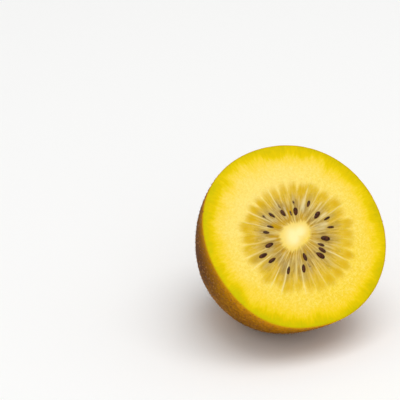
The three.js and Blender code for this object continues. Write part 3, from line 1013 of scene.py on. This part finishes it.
def make_fuzz_finish():
    material, tree, shader = new_material("skin_fuzz", Specular_IOR_Level=0.03, Roughness=0.7)
    tinted = mix(tree, mask_of(tree, "tone"), colour("6a400c"), colour("a87214"))
    feed(tree, shader, Base_Color=tinted)
    return material


scatter_tree = build_scatter_tree()
specks = grow("specks", skin.data, scatter_tree, {
    "Spacing": 1.1 * MM, "Width": 0.5 * MM, "Length": 0.26 * MM, "Lean": 0.15, "Seed": 3,
    "Finish": make_speck_finish(),
})
fuzz = grow("fuzz", skin.data, scatter_tree, {
    "Spacing": 1.2 * MM, "Width": 0.07 * MM, "Length": 0.5 * MM, "Lean": 0.7, "Seed": 11, "Hair": True,
    "Finish": make_fuzz_finish(),
})
for piece in (specks, fuzz):
    report(piece)

# %% [markdown]
# ## Stem scar and dried scales
#
# Where the stalk broke off there is a round woody scar inside a low collar, with a few brittle
# scales left round it. Nobody sees this end in the main view, but a part that is picked up and
# turned needs it. The scar is a plug that follows the end of the skin with fibrous relief. Each
# scale is a thin closed leaf that leans on the collar and is ragged and curled at its free end.

# %% Scar finish
def make_scar_finish():
    material, tree, shader = new_material("dry_stem_scar", Specular_IOR_Level=0.15, Roughness=0.8)
    place = node(tree, "ShaderNodeTexCoord").outputs["Object"]
    grained = grain(tree, place, 900.0, 3200.0, 0.5, 0.0003)
    base = ramp(tree, grained["Mask"], (
        (0.34, "2e1a0c"), (0.46, "553318"), (0.56, "74491f"), (0.68, "9a6e3c"),
    ))
    feed(tree, shader, Base_Color=base, Normal=grained["Normal"])
    return material


SCAR_FINISH = make_scar_finish()
print("finish:", SCAR_FINISH.name)

# %% Scar plug and scales
PLUG_RADIUS, PLUG_LIFT = 2.7, 0.12
PLUG_SIDES, PLUG_RINGS = 72, 14
SCALE_COUNT = 5
SCALE_LENGTH, SCALE_WIDTH, SCALE_THICKNESS = 2.3, 2.2, 0.12
SCALE_STEPS, SCALE_LANES = 10, 8


def end_points(turn, radius, lift):
    """Points lift mm above the skin of the stem end, at this distance from its axis."""
    points = outside_points(turn, radius / face_radius(turn))
    points[:, 2] -= lift
    return points


def build_plug():
    counts, fruit = [], []
    turn = turns_of(PLUG_SIDES)
    ragged = 0.35 * (flicker(turn * 24 / (2 * math.pi), 24, 61) - 0.5)
    for ring in range(PLUG_RINGS):
        share = 1 - ring / PLUG_RINGS
        rough = 0.10 * flicker(turn * 36 / (2 * math.pi), 36, 62 + ring // 3) * (1 - share)
        lift = PLUG_LIFT * math.cos(share**6 * math.pi * 0.75) + rough
        fruit.append(end_points(turn, (PLUG_RADIUS + ragged) * share, lift))
        counts.append(PLUG_SIDES)
    counts.append(1)
    fruit.append(end_points(np.zeros(1), np.zeros(1), PLUG_LIFT))
    return new_piece("stem_scar", to_room(np.vstack(fruit)), ring_faces(counts), SCAR_FINISH)


def leaf_faces(first, rows, cols):
    """Faces of a slab of two grids of rows by cols corners, and of the wall round its edge."""
    under, over = first, first + rows * cols
    faces = []
    for row in range(rows - 1):
        for col in range(cols - 1):
            a = row * cols + col
            quad = (a, a + 1, a + cols + 1, a + cols)
            faces.append(tuple(over + i for i in quad))
            faces.append(tuple(under + i for i in reversed(quad)))
    border = list(range(cols))
    border += [row * cols + cols - 1 for row in range(1, rows)]
    border += [(rows - 1) * cols + col for col in range(cols - 2, -1, -1)]
    border += [row * cols for row in range(rows - 2, 0, -1)]
    for a, b in zip(border, border[1:] + border[:1]):
        faces.append((under + a, under + b, over + b, over + a))
    return faces


def build_scales():
    """Thin closed leaves, laid out as a grid of lanes on two sides."""
    vertices, faces = [], []
    for scale in range(SCALE_COUNT):
        aim = 2 * math.pi * (scale + 0.3 * float(draw(scale, 71))) / SCALE_COUNT
        length = SCALE_LENGTH * (0.7 + 0.6 * float(draw(scale, 72)))
        curl = 0.25 + 0.35 * float(draw(scale, 73))
        sides = []
        for side in (0, 1):
            for step in range(SCALE_STEPS + 1):
                along = step / SCALE_STEPS
                half = SCALE_WIDTH / 2 * (1 - along**1.6) ** 0.7 + 0.12
                lanes = np.linspace(-1, 1, SCALE_LANES + 1)
                ragged = 0.3 * (draw(np.arange(SCALE_LANES + 1) + 31 * scale, 74) - 0.5) * along**3
                radius = 2.1 + length * along + ragged
                turn = aim + lanes * half / radius
                lift = 0.05 + curl * along**2 + 0.12 * lanes**2 * along + side * SCALE_THICKNESS
                sides.append(end_points(turn, radius, lift))
        first, rows, cols = sum(map(len, vertices)), SCALE_STEPS + 1, SCALE_LANES + 1
        vertices += sides
        faces += leaf_faces(first, rows, cols)
    return new_piece("stem_scales", to_room(np.vstack(vertices)), faces, SCAR_FINISH)


stem_scar = build_plug()
stem_scales = build_scales()
for piece in (stem_scar, stem_scales):
    report(piece)

# %% [markdown]
# ## Floor, light and camera
#
# The fruit lies on a plain pale surface. A wide soft light above it and a weaker one in front keep
# the shadows soft. The camera looks down on it from the front left, far enough away that the cut
# keeps its shape.

# %% Floor
def build_floor():
    half = 1.5
    corners = np.array([[-half, -half, 0], [half, -half, 0], [half, half, 0], [-half, half, 0]])
    material, _, _ = new_material("pale_floor", Base_Color=colour("fbfbfa"), Roughness=0.8)
    return new_piece("floor", corners, [(0, 1, 2, 3)], material)


floor = build_floor()
report(floor)


# %% Light
def area_light(name, azimuth, elevation, distance, size, power):
    """A square soft light that looks at the fruit from this direction."""
    light = bpy.data.lights.new(name, "AREA")
    light.shape = "SQUARE"
    light.size = size
    light.energy = power
    lamp = bpy.data.objects.new(name, light)
    a, e = math.radians(azimuth), math.radians(elevation)
    away = Vector((math.sin(a) * math.cos(e), -math.cos(a) * math.cos(e), math.sin(e)))
    lamp.location = away * distance + Vector((0, 0, 0.02))
    lamp.rotation_euler = away.to_track_quat("Z", "Y").to_euler()
    bpy.context.scene.collection.objects.link(lamp)
    return lamp


area_light("top_key", 15, 78, 2.0, 1.6, 20.5)
area_light("front_fill", -15, 34, 2.0, 1.5, 6.5)

world = bpy.data.worlds.new("studio")
world.use_nodes = True
world.node_tree.nodes["Background"].inputs["Color"].default_value = (1, 1, 1, 1)
world.node_tree.nodes["Background"].inputs["Strength"].default_value = 0.53
bpy.context.scene.world = world
bpy.context.scene.view_settings.view_transform = "Standard"
print("two area lights and the world lit")

# %% Camera
IMAGE_SIDE, SENSOR, LENS = 400, 36.0, 150.0
FACE_PIXEL = (296.3, 235.5)
CAMERA_AZIMUTH, CAMERA_ELEVATION, CAMERA_DISTANCE = -25.3, 26.2, 463.8


def add_camera():
    a, e = math.radians(CAMERA_AZIMUTH), math.radians(CAMERA_ELEVATION)
    back = Vector((math.sin(a) * math.cos(e), -math.cos(a) * math.cos(e), math.sin(e)))
    right = Vector((math.cos(a), math.sin(a), 0))
    up = back.cross(right)
    focal = IMAGE_SIDE * LENS / SENSOR
    across = (FACE_PIXEL[0] - IMAGE_SIDE / 2) / focal * CAMERA_DISTANCE
    down = (FACE_PIXEL[1] - IMAGE_SIDE / 2) / focal * CAMERA_DISTANCE
    face = Vector(FACE_PLACE.tolist())
    data = bpy.data.cameras.new("camera")
    data.lens, data.sensor_width, data.sensor_height = LENS, SENSOR, SENSOR
    data.sensor_fit = "HORIZONTAL"
    camera = bpy.data.objects.new("camera", data)
    camera.location = (face - across * right + down * up + CAMERA_DISTANCE * back) * MM
    camera.rotation_euler = Matrix((right, up, back)).transposed().to_euler()
    bpy.context.scene.collection.objects.link(camera)
    bpy.context.scene.camera = camera
    return camera


camera = add_camera()
print("camera at", [round(c, 3) for c in camera.location])

# %% [markdown]
# ## Tie the pieces to the model
#
# Every piece rides on the model's only body. The skin and the flesh together replace the plain
# solid.

# %% Ride and replace
SLOTS = (
    (skin, "skin"), (specks, "skin"), (fuzz, "skin"), (flesh, "flesh"), (seeds, "seed"),
    (stem_scar, "stem_scar"), (stem_scales, "stem_scar"),
)
for piece, finish in SLOTS:
    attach(piece, "root")
for piece in (skin, flesh):
    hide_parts(NODE)
